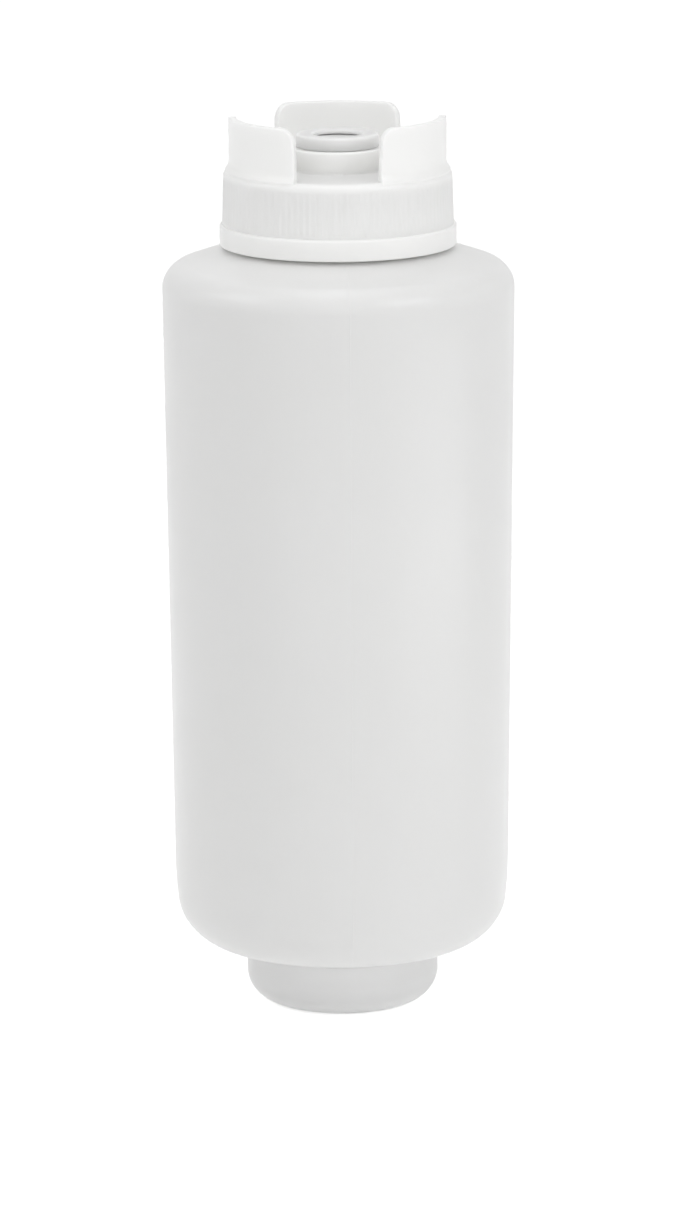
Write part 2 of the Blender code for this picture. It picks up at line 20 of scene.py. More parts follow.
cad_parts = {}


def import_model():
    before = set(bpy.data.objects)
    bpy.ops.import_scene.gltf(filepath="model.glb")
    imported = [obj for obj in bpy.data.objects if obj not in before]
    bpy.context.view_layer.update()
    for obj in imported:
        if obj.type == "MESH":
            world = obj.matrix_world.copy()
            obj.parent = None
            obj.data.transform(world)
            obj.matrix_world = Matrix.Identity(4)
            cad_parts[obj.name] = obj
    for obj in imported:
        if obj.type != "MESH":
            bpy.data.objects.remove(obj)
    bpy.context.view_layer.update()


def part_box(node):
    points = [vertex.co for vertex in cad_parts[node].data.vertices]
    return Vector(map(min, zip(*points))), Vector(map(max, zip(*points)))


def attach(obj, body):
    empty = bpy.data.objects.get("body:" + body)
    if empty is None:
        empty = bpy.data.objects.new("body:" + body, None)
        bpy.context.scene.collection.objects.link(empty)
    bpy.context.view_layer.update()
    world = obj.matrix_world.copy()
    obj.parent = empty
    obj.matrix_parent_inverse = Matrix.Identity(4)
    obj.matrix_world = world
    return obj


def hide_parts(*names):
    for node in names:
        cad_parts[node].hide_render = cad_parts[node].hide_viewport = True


log = logging.getLogger("squeeze_bottle")

FRAME_WIDTH = 678
FRAME_HEIGHT = 1229
MERGE_DISTANCE = 0.000002
SMOOTH_ANGLE = 32.0
SHADING_WEIGHT = 90
PATTERN_LOW = 0.3
PATTERN_HIGH = 0.7
UP = (0.0, 0.0, 1.0)
MIDDLE = (0.0, 0.0, 0.0)

Colour = tuple[float, float, float]
Repeats = tuple[float, float, float]
Socket = bpy.types.NodeSocket


class Slot(Enum):
    """The names of the finishes' slots."""

    BOTTLE = "translucent_bottle"
    CAP = "natural_cap"
    SILICONE = "clear_silicone"
    FOAM = "foam_seal"


class Facing(Enum):
    """The way in which a thread stands out of its wall."""

    OUTWARDS = 1
    INWARDS = -1


class Nodes:
    """Adds and joins the shader nodes of one material or world."""

    def __init__(self, owner: bpy.types.Material | bpy.types.World) -> None:
        """Starts from an empty tree.

        Args:
            owner: the material or world whose nodes are made.
        """
        owner.use_nodes = True
        self.tree = owner.node_tree
        self.tree.nodes.clear()

    def add(self, kind: str, values: dict[str | int, Any] | None = None, **settings: Any) -> bpy.types.Node:
        """Adds a node.

        Args:
            kind: the node's type name.
            values: sockets, by name or number, each with a constant or with a socket to link.
            settings: the node's own settings.

        Returns:
            The new node.
        """
        node = self.tree.nodes.new(kind)
        for name, setting in settings.items():
            setattr(node, name, setting)
        for name, value in (values or {}).items():
            if isinstance(value, Socket):
                self.tree.links.new(value, node.inputs[name])
            else:
                node.inputs[name].default_value = value
        return node

    def noise(self, repeats: Repeats, detail: float, roughness: float = 0.5) -> Socket:
        """A noise pattern in the object's own space.

        Args:
            repeats: its repeats per metre along X, Y and Z.
            detail: how many finer layers it has.
            roughness: how strong the finer layers are.

        Returns:
            The pattern's value, about one half on average.
        """
        place = self.add("ShaderNodeTexCoord").outputs["Object"]
        mapped = self.add("ShaderNodeMapping", {"Vector": place, "Scale": repeats}).outputs["Vector"]
        values = {"Vector": mapped, "Scale": 1.0, "Detail": detail, "Roughness": roughness}
        return self.add("ShaderNodeTexNoise", values).outputs["Fac"]

    def spread(self, value: Socket, low: float, high: float) -> Socket:
        """Stretches the middle of a pattern's range.

        Args:
            value: the pattern's value.
            low: the value at the middle range's lower end.
            high: the value at its upper end.

        Returns:
            The stretched value.
        """
        middle = {"From Min": PATTERN_LOW, "From Max": PATTERN_HIGH}
        values = {"Value": value, **middle, "To Min": low, "To Max": high}
        return self.add("ShaderNodeMapRange", values).outputs["Result"]

    def sum(self, first: Socket, second: Socket) -> Socket:
        """Adds two values."""
        return self.add("ShaderNodeMath", {0: first, 1: second}, operation="ADD").outputs["Value"]

    def mix(self, share: Socket, first: Colour, second: Colour) -> Socket:
        """Mixes two colours.

        Args:
            share: how much of the second colour there is.
            first: the first colour.
            second: the second colour.

        Returns:
            The mixed colour.
        """
        values = {"Factor": share, 6: (*first, 1.0), 7: (*second, 1.0)}
        return self.add("ShaderNodeMix", values, data_type="RGBA").outputs[2]

    def relief(self, layers: Iterable[tuple[Socket, float]]) -> Socket:
        """Stacks relief patterns.

        Args:
            layers: each pattern's height with its depth in metres.

        Returns:
            The normal that carries them all.
        """
        values: dict[str | int, Any] = {}
        for pattern, depth in layers:
            values |= {"Height": pattern, "Distance": depth, "Strength": 1.0}
            values["Normal"] = self.add("ShaderNodeBump", values).outputs["Normal"]
        return values["Normal"]

    def output(self, shader: Socket, kind: str = "ShaderNodeOutputMaterial") -> None:
        """Sends a shader to the output."""
        self.add(kind, {"Surface": shader})


@dataclass(frozen=True)
class Finish(ABC):
    """A material that light enters and scatters in."""

    name: str
    slot: Slot
    colour: Colour
    cloud_colour: Colour
    roughness: tuple[float, float]
    index: float
    scatter: float
    scatter_depth: float
    cloud_repeats: Repeats = (22.0, 22.0, 16.0)
    wear_repeats: Repeats = (60.0, 60.0, 45.0)
    fine_share: float = 0.6

    def clouds(self, nodes: Nodes) -> Socket:
        """How much of the cloud colour shows: the resin's faint unevenness."""
        return nodes.spread(nodes.noise(self.cloud_repeats, 3.0), 0.0, 1.0)

    def wear(self, nodes: Nodes) -> Socket:
        """Where the surface is smoother or duller from handling."""
        return nodes.noise(self.wear_repeats, 4.0, self.fine_share)

    @abstractmethod
    def layers(self, nodes: Nodes) -> list[tuple[Socket, float]]:
        """The surface's relief.

        Args:
            nodes: the material's nodes.

        Returns:
            Each pattern with its depth, from the coarsest to the finest.
        """

    @functools.cache
    def material(self) -> bpy.types.Material:
        """The material, made once.

        Returns:
            The material with its nodes.
        """
        material = bpy.data.materials.new(self.name)
        nodes = Nodes(material)
        shader = nodes.add("ShaderNodeBsdfPrincipled", {
            "Base Color": nodes.mix(self.clouds(nodes), self.colour, self.cloud_colour),
            "Roughness": nodes.spread(self.wear(nodes), *self.roughness),
            "IOR": self.index,
            "Subsurface Weight": self.scatter,
            "Subsurface Radius": (1.0, 1.0, 1.0),
            "Subsurface Scale": self.scatter_depth,
            "Normal": nodes.relief(self.layers(nodes)),
        })
        nodes.output(shader.outputs["BSDF"])
        return material


@dataclass(frozen=True)
class BlownPolyethylene(Finish):
    """The milky wall of a blow-moulded bottle, with faint upright draw lines."""

    ripple_repeats: Repeats = (28.0, 28.0, 9.0)
    ripple_depth: float = 0.00006
    draw_line_repeats: Repeats = (900.0, 900.0, 6.0)
    draw_line_depth: float = 0.000012
    grain_repeats: Repeats = (2200.0, 2200.0, 2200.0)
    grain_depth: float = 0.000002

    def layers(self, nodes: Nodes) -> list[tuple[Socket, float]]:
        """The wall's slow ripples, the upright lines of the drawn tube, and a fine satin grain."""
        return [
            (nodes.noise(self.ripple_repeats, 1.0), self.ripple_depth),
            (nodes.noise(self.draw_line_repeats, 2.0), self.draw_line_depth),
            (nodes.noise(self.grain_repeats, 2.0), self.grain_depth),
        ]


@dataclass(frozen=True)
class MouldedPolypropylene(Finish):
    """A cap's satin skin, with slow sink marks and a fine spark-eroded grain."""

    sink_repeats: Repeats = (90.0, 90.0, 90.0)
    sink_depth: float = 0.00002
    grain_repeats: Repeats = (3200.0, 3200.0, 3200.0)
    grain_depth: float = 0.000005

    def layers(self, nodes: Nodes) -> list[tuple[Socket, float]]:
        """Slow sink marks and the mould's grain."""
        return [
            (nodes.noise(self.sink_repeats, 1.0), self.sink_depth),
            (nodes.noise(self.grain_repeats, 3.0, self.fine_share), self.grain_depth),
        ]


@dataclass(frozen=True)
class Silicone(Finish):
    """Soft rubber, slightly uneven as it leaves its mould."""

    peel_repeats: Repeats = (700.0, 700.0, 700.0)
    peel_depth: float = 0.000012

    def layers(self, nodes: Nodes) -> list[tuple[Socket, float]]:
        """A soft orange-peel skin."""
        return [(nodes.noise(self.peel_repeats, 2.0), self.peel_depth)]


@dataclass(frozen=True)
class ClosedCellFoam(Finish):
    """A sealing disc's foam, whose skin shows its small cells."""

    cell_size: float = 0.0006
    cell_depth: float = 0.00006
    skin_repeats: Repeats = (3000.0, 3000.0, 3000.0)
    skin_depth: float = 0.00001

    def layers(self, nodes: Nodes) -> list[tuple[Socket, float]]:
        """The foam's cells, with a fine roughness over them."""
        place = nodes.add("ShaderNodeTexCoord").outputs["Object"]
        values = {"Vector": place, "Scale": 1.0 / self.cell_size}
        cells = nodes.add("ShaderNodeTexVoronoi", values).outputs["Distance"]
        return [(cells, self.cell_depth), (nodes.noise(self.skin_repeats, 2.0), self.skin_depth)]


BOTTLE_PLASTIC = BlownPolyethylene(
    "milky_polyethylene", Slot.BOTTLE, (0.91, 0.91, 0.895), (0.93, 0.93, 0.918),
    (0.29, 0.37), 1.51, 0.75, 0.0045,
)
CAP_PLASTIC = MouldedPolypropylene(
    "natural_polypropylene", Slot.CAP, (0.88, 0.88, 0.865), (0.90, 0.90, 0.888),
    (0.30, 0.40), 1.49, 1.0, 0.004,
)
# The refill cap's plastic is whiter than the dispensing cap's in its own right. Its colour is also raised
# further as painted light, to lift the shade that falls on the refill cap under the bottle's overhanging
# bottom.
WHITER_PLASTIC_WITH_PAINTED_LIGHT = MouldedPolypropylene(
    "whiter_polypropylene_with_painted_light", Slot.CAP, (0.95, 0.95, 0.935), (0.96, 0.96, 0.95),
    (0.30, 0.40), 1.49, 1.0, 0.004,
)
VALVE_RUBBER = Silicone(
    "clear_silicone_rubber", Slot.SILICONE, (0.88, 0.88, 0.87), (0.90, 0.90, 0.89),
    (0.30, 0.42), 1.41, 1.0, 0.004,
)
SEAL_FOAM = ClosedCellFoam(
    "white_foam", Slot.FOAM, (0.86, 0.86, 0.84), (0.90, 0.90, 0.88),
    (0.80, 0.92), 1.45, 0.2, 0.0005,
)


@dataclass(frozen=True)
class Corner:
    """A corner of a turned section, with the radius that rounds it."""

    radius: float
    height: float
    fillet: float = 0.0
    segments: int = 6


class Turning:
    """Shapes that a lathe would make, about the Z axis."""

    @staticmethod
    def section(corners: Sequence[Corner], closed: bool) -> bmesh.types.BMesh:
        """Draws a section in the XZ plane and rounds its corners.

        Args:
            corners: the section's corners in order.
            closed: whether the last corner joins the first.

        Returns:
            A bmesh of the section's line.
        """
        bm = bmesh.new()
        verts = [bm.verts.new((corner.radius, 0.0, corner.height)) for corner in corners]
        for pair in zip(verts, verts[1:] + verts[:1] if closed else verts[1:]):
            bm.edges.new(pair)
        places = [vert.co.copy() for vert in verts]
        for i, corner in enumerate(corners):
            if corner.fillet:
                before = places[i - 1] - places[i]
                after = places[(i + 1) % len(places)] - places[i]
                reach = corner.fillet / math.tan(before.angle(after) / 2)
                bmesh.ops.bevel(
                    bm, geom=[verts[i]], offset=reach, offset_type="OFFSET", segments=corner.segments,
                    profile=0.5, affect="VERTICES", clamp_overlap=False, material=-1,
                )
        return bm

    @classmethod
    def ring(cls, corners: Sequence[Corner], steps: int, closed: bool = True) -> bmesh.types.BMesh:
        """Turns a section all the way round.

        Args:
            corners: the section's corners in order. An open section starts and ends on the axis.
            steps: the number of faces round the axis.
            closed: whether the last corner joins the first.

        Returns:
            The closed shape.
        """
        bm = cls.section(corners, closed)
        bmesh.ops.spin(
            bm, geom=bm.verts[:] + bm.edges[:], cent=MIDDLE, axis=UP, angle=math.tau, steps=steps,
            use_merge=True, use_duplicate=False,
        )
        return tidied(bm)

    @classmethod
    def wedge(cls, corners: Sequence[Corner], angle: float, steps: int) -> bmesh.types.BMesh:
        """Turns a closed section through part of a turn, centred on the X axis, with flat ends.

        Args:
            corners: the section's corners in order.
            angle: how far it turns, in radians.
            steps: the number of faces along the turn.

        Returns:
            The closed shape.
        """
        bm = cls.section(corners, closed=True)
        bmesh.ops.contextual_create(bm, geom=bm.edges[:])
        bmesh.ops.rotate(bm, verts=bm.verts, cent=MIDDLE, matrix=Matrix.Rotation(-angle / 2, 3, "Z"))
        bmesh.ops.spin(
            bm, geom=bm.verts[:] + bm.edges[:] + bm.faces[:], cent=MIDDLE, axis=UP, angle=angle, steps=steps,
            use_merge=False, use_duplicate=False,
        )
        return tidied(bm)


def score(bm: bmesh.types.BMesh, point: Vector, normal: Vector) -> None:
    """Cuts a shape's faces along a plane, and keeps both sides.

    Args:
        bm: the shape.
        point: a point on the plane.
        normal: the plane's normal.
    """
    bmesh.ops.bisect_plane(
        bm, geom=bm.verts[:] + bm.edges[:] + bm.faces[:], dist=MERGE_DISTANCE,
        plane_co=point, plane_no=normal,
    )


def tidied(bm: bmesh.types.BMesh) -> bmesh.types.BMesh:
    """Merges a closed shape's doubles and turns its faces outwards.

    Args:
        bm: the shape.

    Returns:
        The same bmesh.
    """
    bmesh.ops.remove_doubles(bm, verts=bm.verts, dist=MERGE_DISTANCE)
    bmesh.ops.recalc_face_normals(bm, faces=bm.faces)
    return bm


def to_object(name: str, bm: bmesh.types.BMesh) -> bpy.types.Object:
    """Makes an object from a finished bmesh.

    Args:
        name: the object's name.
        bm: its shape, which is freed.

    Returns:
        The object, linked to the scene.
    """
    mesh = bpy.data.meshes.new(name)
    bm.to_mesh(mesh)
    bm.free()
    obj = bpy.data.objects.new(name, mesh)
    bpy.context.scene.collection.objects.link(obj)
    return obj


def united(name: str, body: bmesh.types.BMesh, features: Sequence[bmesh.types.BMesh]) -> bmesh.types.BMesh:
    """Joins features to a body, so that no wall runs on inside it.

    Args:
        name: a name for the body while it is worked on.
        body: the main closed shape.
        features: closed shapes that reach into it.

    Returns:
        One closed shape.
    """
    base = to_object(name, body)
    cutters = [to_object(f"{name}_feature_{i}", feature) for i, feature in enumerate(features)]
    for cutter in cutters:
        union = base.modifiers.new(cutter.name, "BOOLEAN")
        union.operation = "UNION"
        union.solver = "EXACT"
        union.object = cutter
    result = bmesh.new()
    result.from_object(base, bpy.context.evaluated_depsgraph_get())
    for obj in (base, *cutters):
        mesh = obj.data
        bpy.data.objects.remove(obj)
        bpy.data.meshes.remove(mesh)
    bmesh.ops.remove_doubles(result, verts=result.verts, dist=MERGE_DISTANCE)
    return result


@dataclass(frozen=True)
class Piece:
    """A visible piece: its shape, its finish, and the part that it stands for."""

    name: str
    shape: bmesh.types.BMesh
    finish: Finish
    body: str
    node: str

    def show(self) -> None:
        """Puts the piece in the scene in place of its node, and reports it."""
        faces = len(self.shape.faces)
        open_edges = sum(not edge.is_manifold for edge in self.shape.edges)
        obj = to_object(self.name, self.shape)
        obj.data.materials.append(self.finish.material())
        obj.data.shade_smooth()
        obj.data.set_sharp_from_angle(angle=math.radians(SMOOTH_ANGLE))
        even = obj.modifiers.new("even_shading", "WEIGHTED_NORMAL")
        even.keep_sharp = True
        even.weight = SHADING_WEIGHT
        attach(obj, self.body)
        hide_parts(self.node)
        log.info("%s: %d faces, %d open edges, rides on %s", self.name, faces, open_edges, self.body)


@dataclass(frozen=True)
class Thread:
    """A screw thread's ridge, which climbs round a wall and runs out into it at both ends."""

    wall: float
    facing: Facing
    height: float
    root_width: float
    crest_width: float
    start: float
    turns: float
    phase: float
    lead: float = 0.0042333
    sink: float = 0.0003
    crest_round: float = 0.0002
    steps_per_turn: int = 96
    run_out_steps: int = 14
    least_share: float = 0.12

    def shape(self) -> bmesh.types.BMesh:
        """Turns the ridge's section along the helix.

        Returns:
            The closed ridge, sunk a little into its wall.
        """
        root = self.wall - self.facing.value * self.sink
        crest = self.wall + self.facing.value * self.height
        bm = Turning.section([
            Corner(root, self.start - self.root_width / 2),
            Corner(crest, self.start - self.crest_width / 2, self.crest_round, 3),
            Corner(crest, self.start + self.crest_width / 2, self.crest_round, 3),
            Corner(root, self.start + self.root_width / 2),
        ], closed=True)
        bmesh.ops.contextual_create(bm, geom=bm.edges[:])
        angle = math.tau * (self.start - self.phase) / self.lead
        bmesh.ops.rotate(bm, verts=bm.verts, cent=MIDDLE, matrix=Matrix.Rotation(angle, 3, "Z"))
        ring_size = len(bm.verts)
        steps = round(self.turns * self.steps_per_turn)
        bmesh.ops.spin(
            bm, geom=bm.verts[:] + bm.edges[:] + bm.faces[:], cent=MIDDLE, axis=UP,
            dvec=(0.0, 0.0, self.lead * self.turns / steps), angle=math.tau * self.turns, steps=steps,
            use_merge=False, use_duplicate=False,
        )
        for i, vert in enumerate(bm.verts):
            ring = i // ring_size
            share = min(1.0, self.least_share + min(ring, steps - ring) / self.run_out_steps)
            radius = vert.co.xy.length
            vert.co.xy *= (root + (radius - root) * share) / radius
        bmesh.ops.recalc_face_normals(bm, faces=bm.faces)
        return bm


@dataclass(frozen=True)
class ThreadFit:
    """How a cap's thread and its neck's thread stand to each other."""

    height: float = 0.0012
    root_width: float = 0.0019
    crest_width: float = 0.0009
    cap_root_width: float = 0.0017
    cap_crest_width: float = 0.0008
    crest_gap: float = 0.0005
    cap_crest_gap: float = 0.0004
    flank_gap: float = 0.0003

    @property
    def wall_gap(self) -> float:
        """The distance from a neck's wall to its cap's."""
        return self.height + self.crest_gap

    @property
    def offset(self) -> float:
        """How far apart the middles of the two threads are, where their flanks bear on each other."""
        narrowing = (self.root_width - self.crest_width) * self.cap_crest_gap / self.height
        return self.flank_gap + (self.root_width - narrowing + self.cap_crest_width) / 2

    def on_neck(self, neck_radius: float, start: float, turns: float, rim: float) -> bmesh.types.BMesh:
        """The ridge outside a neck.

        Args:
            neck_radius: the radius of the neck's wall.
            start: the height of the ridge's lower end.
            turns: how many turns it makes.
            rim: the height of the neck's rim, which sets where round the neck the ridge is.

        Returns:
            The ridge.
        """
        widths = (self.root_width, self.crest_width)
        return Thread(neck_radius, Facing.OUTWARDS, self.height, *widths, start, turns, rim).shape()

    def in_cap(self, neck_radius: float, start: float, turns: float, phase: float) -> bmesh.types.BMesh:
        """The ridge inside a cap.

        Args:
            neck_radius: the radius of the neck's wall that the cap screws on.
            start: the height of the ridge's lower end.
            turns: how many turns it makes.
            phase: the height at which the ridge would pass the X axis.

        Returns:
            The ridge.
        """
        wall = neck_radius + self.wall_gap
        height = self.wall_gap - self.cap_crest_gap
        widths = (self.cap_root_width, self.cap_crest_width)
        return Thread(wall, Facing.INWARDS, height, *widths, start, turns, phase).shape()


@dataclass(frozen=True)
class Stack:
    """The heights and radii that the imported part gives."""

    refill_cap_radius: float
    refill_cap_top: float
    refill_rim: float
    dispensing_rim: float
    skirt_foot: float
    bead_radius: float
    tab_top: float
    retainer_foot: float
    retainer_top: float
    retainer_radius: float
    valve_foot: float
    valve_top: float
    flange_radius: float

    @classmethod
    def measured(cls) -> Stack:
        """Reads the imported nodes' boxes.

        Returns:
            The places of the whole stack.
        """
        refill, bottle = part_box("refill_cap"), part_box("bottle_body")
        cap, ring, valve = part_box("dispensing_cap"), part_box("valve_retainer"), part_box("silicone_valve")
        return cls(
            refill_cap_radius=refill[1].x, refill_cap_top=refill[1].z,
            refill_rim=bottle[0].z, dispensing_rim=bottle[1].z,
            skirt_foot=cap[0].z, bead_radius=cap[1].x, tab_top=cap[1].z,
            retainer_foot=ring[0].z, retainer_top=ring[1].z, retainer_radius=ring[1].x,
            valve_foot=valve[0].z, valve_top=valve[1].z, flange_radius=valve[1].x,
        )


@dataclass(frozen=True)
class BottleMoulding:
    """The blow-moulded body with its two threaded necks and its parting line."""

    stack: Stack
    threads: ThreadFit
    steps: int = 192
    wall: float = 0.0012
    refill_neck_radius: float = 0.0212
    refill_neck_wall: float = 0.0018
    refill_thread_turns: float = 1.1
    dispensing_neck_radius: float = 0.0251
    dispensing_neck_wall: float = 0.0020
    dispensing_thread_turns: float = 1.5
    neck_thread_depth: float = 0.0016
    rim_round: float = 0.0004
    neck_root_round: float = 0.0006
    shoulder_gap: float = 0.00015
    bottom_radius: float = 0.04254
    bottom_slope: float = 12.1
    bottom_fillet: float = 0.0120
    ease_turn: float = 7.0
    ease_radius: float = 0.0800
    top_radius: float = 0.0445
    shoulder_slope: float = 18.85
    shoulder_fillet: float = 0.0065
    parting_angle: float = 3.6
    parting_width: float = 0.00035
    parting_height: float = 0.00008

    def corners(self) -> tuple[Vector, ...]:
        """The corners of the outer wall, from the lower neck to the upper one.

        Returns:
            Points (radius, height): lower neck, bottom, side, shoulder and upper neck.
        """
        rise = math.tan(math.radians(self.bottom_slope))
        fall = math.tan(math.radians(self.shoulder_slope))
        foot = self.stack.refill_cap_top + self.shoulder_gap
        skirt_radius = self.dispensing_neck_radius + self.threads.wall_gap
        shoulder = self.stack.skirt_foot - self.shoulder_gap - (self.top_radius - skirt_radius) * fall
        cap_radius = self.refill_neck_radius + self.threads.wall_gap
        neck_low = Vector((self.refill_neck_radius, foot - self.threads.wall_gap * rise))
        corner = Vector((self.bottom_radius, foot + (self.bottom_radius - cap_radius) * rise))
        high = Vector((self.top_radius, shoulder))
        reach = self.top_radius - self.dispensing_neck_radius
        neck_high = Vector((self.dispensing_neck_radius, shoulder + reach * fall))
        return neck_low, *self.eased(neck_low, corner, high), high, neck_high

    def eased(self, before: Vector, corner: Vector, after: Vector) -> tuple[Vector, Vector]:
        """Splits the lower corner, so that a gentle curve leads from the side into the bottom's fillet.

        Args:
            before: the corner at the lower neck.
            corner: where the lines of the bottom and the side would meet.
            after: the shoulder's corner.

        Returns:
            The bottom's corner and the side's.
        """
        along_bottom = (before - corner).normalized()
        along_side = (after - corner).normalized()
        turn = math.pi - along_bottom.angle(along_side)
        ease = math.radians(self.ease_turn)
        length = self.bottom_fillet * math.tan((turn - ease) / 2) + self.ease_radius * math.tan(ease / 2)
        reach = length / math.sin(turn)
        low = corner + along_bottom * reach * math.sin(ease)
        return low, corner + along_side * reach * math.sin(turn - ease)

    def inside(self, before: Vector, corner: Vector, after: Vector) -> Vector:
        """Moves a corner of the outer wall to the inner one.

        Args:
            before: the corner before it.
            corner: the corner.
            after: the corner after it.

        Returns:
            The inner wall's corner.
        """
        u = (before - corner).normalized()
        v = (after - corner).normalized()
        return corner + (u + v).normalized() * self.wall / math.sin(u.angle(v) / 2)

    def section(self) -> list[Corner]:
        """The wall's section.

        Returns:
            Its corners, up the outside and down the inside.
        """
        neck_low, low, side, high, neck_high = self.corners()
        in_low = self.inside(neck_low, low, side)
        in_side = self.inside(low, side, high)
        in_high = self.inside(side, high, neck_high)
        low_bore = self.refill_neck_radius - self.refill_neck_wall
        high_bore = self.dispensing_neck_radius - self.dispensing_neck_wall
        fall = math.tan(math.radians(self.shoulder_slope))
        rise = math.tan(math.radians(self.bottom_slope))
        return [
            Corner(low_bore, self.stack.refill_rim, self.rim_round, 4),
            Corner(self.refill_neck_radius, self.stack.refill_rim, self.rim_round, 4),
            Corner(*neck_low, self.neck_root_round, 4),
            Corner(*low, self.bottom_fillet, 16),
            Corner(*side, self.ease_radius, 6),
            Corner(*high, self.shoulder_fillet, 14),
            Corner(*neck_high, self.neck_root_round, 4),
            Corner(self.dispensing_neck_radius, self.stack.dispensing_rim, self.rim_round, 4),
            Corner(high_bore, self.stack.dispensing_rim, self.rim_round, 4),
            Corner(high_bore, in_high.y + (in_high.x - high_bore) * fall, self.neck_root_round, 3),
            Corner(*in_high, self.shoulder_fillet - self.wall, 10),
            Corner(*in_side, self.ease_radius - self.wall, 4),
            Corner(*in_low, self.bottom_fillet - self.wall, 12),
            Corner(low_bore, in_low.y - (in_low.x - low_bore) * rise, self.neck_root_round, 3),
        ]

    def raise_parting_line(self, bm: bmesh.types.BMesh) -> None:
        """Raises the fine line that the mould's halves leave, front and back.

        Args:
            bm: the turned wall.
        """
        angle = math.radians(self.parting_angle)
        across = Vector((math.cos(angle), math.sin(angle), 0.0))
        for share in (-0.5, 0.0, 0.5):
            score(bm, across * self.parting_width * share, across)
        neck_low, low, side, high, neck_high = self.corners()
        for vert in bm.verts:
            radius = vert.co.xy.length
            on_line = abs(vert.co.dot(across)) < MERGE_DISTANCE
            between_necks = neck_low.y < vert.co.z < neck_high.y
            on_body = between_necks and radius > self.dispensing_neck_radius + self.wall
            outwards = Vector((*vert.co.xy, vert.co.z - (low.y + high.y) / 2))
            if on_line and on_body and vert.normal.dot(outwards) > 0:
                vert.co += vert.normal * self.parting_height

    def pieces(self) -> list[Piece]:
        """Builds the body.

        Returns:
            The body's one piece.
        """
        bm = Turning.ring(self.section(), self.steps)
        bm.normal_update()
        self.raise_parting_line(bm)
        upper_start = (
            self.stack.dispensing_rim - self.neck_thread_depth
            - self.dispensing_thread_turns * Thread.lead
        )
        ridges = [
            self.threads.on_neck(
                self.dispensing_neck_radius, upper_start, self.dispensing_thread_turns,
                self.stack.dispensing_rim,
            ),
            self.threads.on_neck(
                self.refill_neck_radius, self.stack.refill_rim + self.neck_thread_depth,
                self.refill_thread_turns, self.stack.refill_rim,
            ),
        ]
        shape = united("bottle", bm, ridges)
        return [Piece("bottle_moulding", shape, BOTTLE_PLASTIC, "bottle", "bottle_body")]


